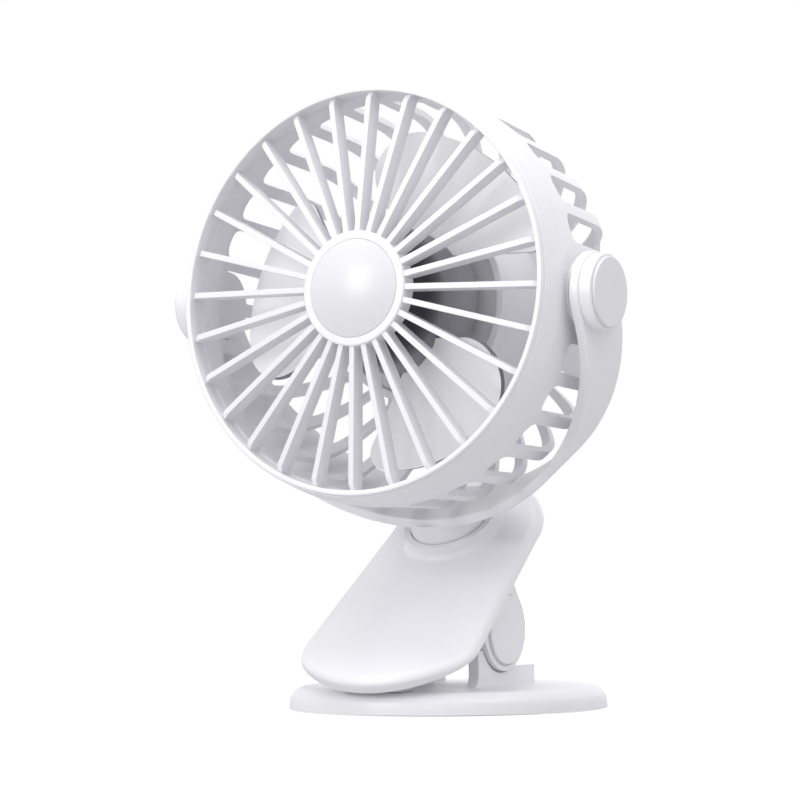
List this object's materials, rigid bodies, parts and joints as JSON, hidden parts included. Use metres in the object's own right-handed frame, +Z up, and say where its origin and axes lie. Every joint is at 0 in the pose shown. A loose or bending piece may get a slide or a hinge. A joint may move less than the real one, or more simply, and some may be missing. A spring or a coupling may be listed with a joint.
{
  "type": "clip fan",
  "caption": "Small round fan with a spoked front guard, tilting in a U yoke that swivels on a spring clip with a round weighted base.",
  "frame": {"origin": "centre of the base's underside, on the surface it stands on", "axes": "+X to the right seen from the front, -Y towards the front (the air outlet), +Z up"},
  "size_m": [0.1448, 0.1062, 0.1868],
  "materials": {
    "shell_plastic": "satin",
    "gloss_cap": "gloss",
    "blade_plastic": "satin",
    "steel": "satin",
    "spring_steel": "satin",
    "motor_steel": "satin",
    "grip_rubber": "matte",
    "washer_nylon": "satin",
    "motor_end_plastic": "matte",
    "bushing_brass": "satin",
    "magnet": "matte",
    "battery_wrap": "satin",
    "foam": "matte",
    "board": "satin",
    "switch_plastic": "matte",
    "light_pipe": "clear"
  },
  "bodies": {
    "base": {"base_plate": "shell_plastic", "base_weight": "steel", "base_cover": "shell_plastic", "base_screws": "steel", "foot_pad": "grip_rubber", "hinge_pin": "steel", "jaw_spring": "spring_steel"},
    "jaw": {"jaw_cover": "shell_plastic", "jaw_frame": "shell_plastic", "jaw_frame_screws": "steel", "jaw_grip_pad": "grip_rubber", "hinge_cap_left": "shell_plastic", "hinge_cap_right": "shell_plastic"},
    "yoke_body": {"yoke": "shell_plastic", "pivot_cap_left": "gloss_cap", "pivot_cap_right": "gloss_cap", "neck_washer": "washer_nylon", "neck_screw": "steel"},
    "head": {"front_guard": "shell_plastic", "centre_cap": "gloss_cap", "rear_housing": "shell_plastic", "rear_cover": "shell_plastic", "rear_cover_screws": "steel", "motor_can": "motor_steel", "motor_end_cap": "motor_end_plastic", "motor_bushing": "bushing_brass", "motor_magnets": "magnet", "motor_screws": "steel", "battery_cell": "battery_wrap", "battery_pad": "foam", "control_board": "board", "usb_socket": "motor_steel", "push_switch": "switch_plastic", "led_light_pipe": "light_pipe", "pivot_screws": "steel", "pivot_washers": "washer_nylon"},
    "fan": {"impeller": "blade_plastic", "motor_shaft": "steel", "motor_rotor": "motor_steel"},
    "button": {"power_button": "gloss_cap"}
  },
  "joints": [
    {"name": "jaw_open", "type": "hinge", "parent": "base", "child": "jaw", "pos_m": [0, 0.0022, 0.024], "axis": [-1, 0, 0], "range_deg": [0, 30], "stiffness_Nm_per_rad": 0.35, "springref_deg": -34.38, "deforming": ["jaw_spring"]},
    {"name": "yoke_swivel", "type": "hinge", "parent": "jaw", "child": "yoke_body", "pos_m": [0, 0.00126, 0.05694], "axis": [0, -0.5878, 0.809], "continuous": true},
    {"name": "head_tilt", "type": "hinge", "parent": "yoke_body", "child": "head", "pos_m": [0, -0.02968, 0.12328], "axis": [1, 0, 0], "continuous": true},
    {"name": "impeller_spin", "type": "hinge", "parent": "head", "child": "fan", "pos_m": [0, -0.02968, 0.12328], "axis": [0, -0.9949, 0.1011], "continuous": true},
    {"name": "button_press", "type": "slide", "parent": "head", "child": "button", "axis": [0, -0.9949, 0.1011], "range_m": [0, 0.0005], "stiffness_N_per_m": 1500, "springref_m": -0.0003}
  ]
}
